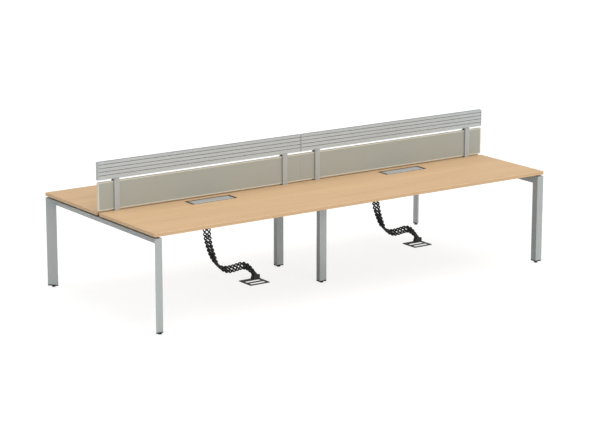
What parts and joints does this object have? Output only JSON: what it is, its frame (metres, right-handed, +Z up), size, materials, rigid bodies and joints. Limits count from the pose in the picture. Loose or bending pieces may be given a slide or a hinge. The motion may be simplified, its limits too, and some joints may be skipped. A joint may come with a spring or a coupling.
{
  "type": "bench desk",
  "caption": "Face-to-face bench desk on a silver steel frame, with a central screen, a slatted hanging rail, hinged cable lids, levelling feet and link-chain cable risers.",
  "frame": {"origin": "on the floor below the middle of the bench", "axes": "+X along the bench, +Y from front to rear, +Z up"},
  "size_m": [3.6, 1.592, 1.116],
  "materials": {
    "worktop_laminate": "satin",
    "lid_grey": "matte",
    "panel_grey": "satin",
    "panel_edge": "satin",
    "rail_aluminium": "satin",
    "end_cap_silver": "satin",
    "riser_black": "matte",
    "floor_plate_dark": "matte",
    "black_plastic": "matte",
    "fixing_steel": "satin",
    "frame_silver": "satin"
  },
  "bodies": {
    "bench": {"cable_tray_left": "frame_silver", "cable_tray_right": "frame_silver", "frame_bolts": "fixing_steel", "front_left_rail": "frame_silver", "front_post_covers": "rail_aluminium", "front_right_rail": "frame_silver", "front_support_arm": "frame_silver", "left_end_beam": "frame_silver", "left_front_leg": "frame_silver", "left_rear_leg": "frame_silver", "left_riser_clamp": "riser_black", "left_riser_foot": "riser_black", "left_riser_links": "riser_black", "left_riser_plate": "floor_plate_dark", "leg_caps": "black_plastic", "lid_brackets": "fixing_steel", "lid_pins": "fixing_steel", "middle_cross_beam": "frame_silver", "middle_front_leg": "frame_silver", "middle_rear_leg": "frame_silver", "rail_plates": "frame_silver", "rail_saddles": "black_plastic", "rear_left_rail": "frame_silver", "rear_post_covers": "rail_aluminium", "rear_right_rail": "frame_silver", "rear_support_arm": "frame_silver", "right_end_beam": "frame_silver", "right_front_leg": "frame_silver", "right_rear_leg": "frame_silver", "right_riser_clamp": "riser_black", "right_riser_foot": "riser_black", "right_riser_links": "riser_black", "right_riser_plate": "floor_plate_dark", "screen_cross_bars": "frame_silver", "screen_forks": "frame_silver", "screen_panel_left": "panel_grey", "screen_panel_right": "panel_grey", "screen_trim_left": "panel_edge", "screen_trim_right": "panel_edge", "slat_core_left": "rail_aluminium", "slat_core_right": "rail_aluminium", "slat_end_caps": "end_cap_silver", "slat_strips_left": "rail_aluminium", "slat_strips_right": "rail_aluminium", "spacer_pads": "black_plastic", "worktop_front_left": "worktop_laminate", "worktop_front_right": "worktop_laminate", "worktop_rear_left": "worktop_laminate", "worktop_rear_right": "worktop_laminate"},
    "cable_lid_front_left": {"cable_lid_front_left": "lid_grey"},
    "cable_lid_front_right": {"cable_lid_front_right": "lid_grey"},
    "cable_lid_rear_left": {"cable_lid_rear_left": "lid_grey"},
    "cable_lid_rear_right": {"cable_lid_rear_right": "lid_grey"},
    "left_front_foot": {"left_front_foot": "black_plastic"},
    "left_rear_foot": {"left_rear_foot": "black_plastic"},
    "middle_front_foot": {"middle_front_foot": "black_plastic"},
    "middle_rear_foot": {"middle_rear_foot": "black_plastic"},
    "right_front_foot": {"right_front_foot": "black_plastic"},
    "right_rear_foot": {"right_rear_foot": "black_plastic"}
  },
  "joints": [
    {"name": "cable_lid_front_left_hinge", "type": "hinge", "parent": "bench", "child": "cable_lid_front_left", "pos_m": [-0.90025, -0.088, 0.737], "axis": [-1, 0, 0], "range_deg": [0, 100]},
    {"name": "cable_lid_front_right_hinge", "type": "hinge", "parent": "bench", "child": "cable_lid_front_right", "pos_m": [0.90025, -0.088, 0.737], "axis": [-1, 0, 0], "range_deg": [0, 100]},
    {"name": "cable_lid_rear_left_hinge", "type": "hinge", "parent": "bench", "child": "cable_lid_rear_left", "pos_m": [-0.90025, 0.088, 0.737], "axis": [1, 0, 0], "range_deg": [0, 100]},
    {"name": "cable_lid_rear_right_hinge", "type": "hinge", "parent": "bench", "child": "cable_lid_rear_right", "pos_m": [0.90025, 0.088, 0.737], "axis": [1, 0, 0], "range_deg": [0, 100]},
    {"name": "left_front_foot_screw", "type": "slide", "parent": "bench", "child": "left_front_foot", "axis": [0, 0, -1], "range_m": [0, 0.015]},
    {"name": "left_rear_foot_screw", "type": "slide", "parent": "bench", "child": "left_rear_foot", "axis": [0, 0, -1], "range_m": [0, 0.015]},
    {"name": "middle_front_foot_screw", "type": "slide", "parent": "bench", "child": "middle_front_foot", "axis": [0, 0, -1], "range_m": [0, 0.015]},
    {"name": "middle_rear_foot_screw", "type": "slide", "parent": "bench", "child": "middle_rear_foot", "axis": [0, 0, -1], "range_m": [0, 0.015]},
    {"name": "right_front_foot_screw", "type": "slide", "parent": "bench", "child": "right_front_foot", "axis": [0, 0, -1], "range_m": [0, 0.015]},
    {"name": "right_rear_foot_screw", "type": "slide", "parent": "bench", "child": "right_rear_foot", "axis": [0, 0, -1], "range_m": [0, 0.015]}
  ]
}
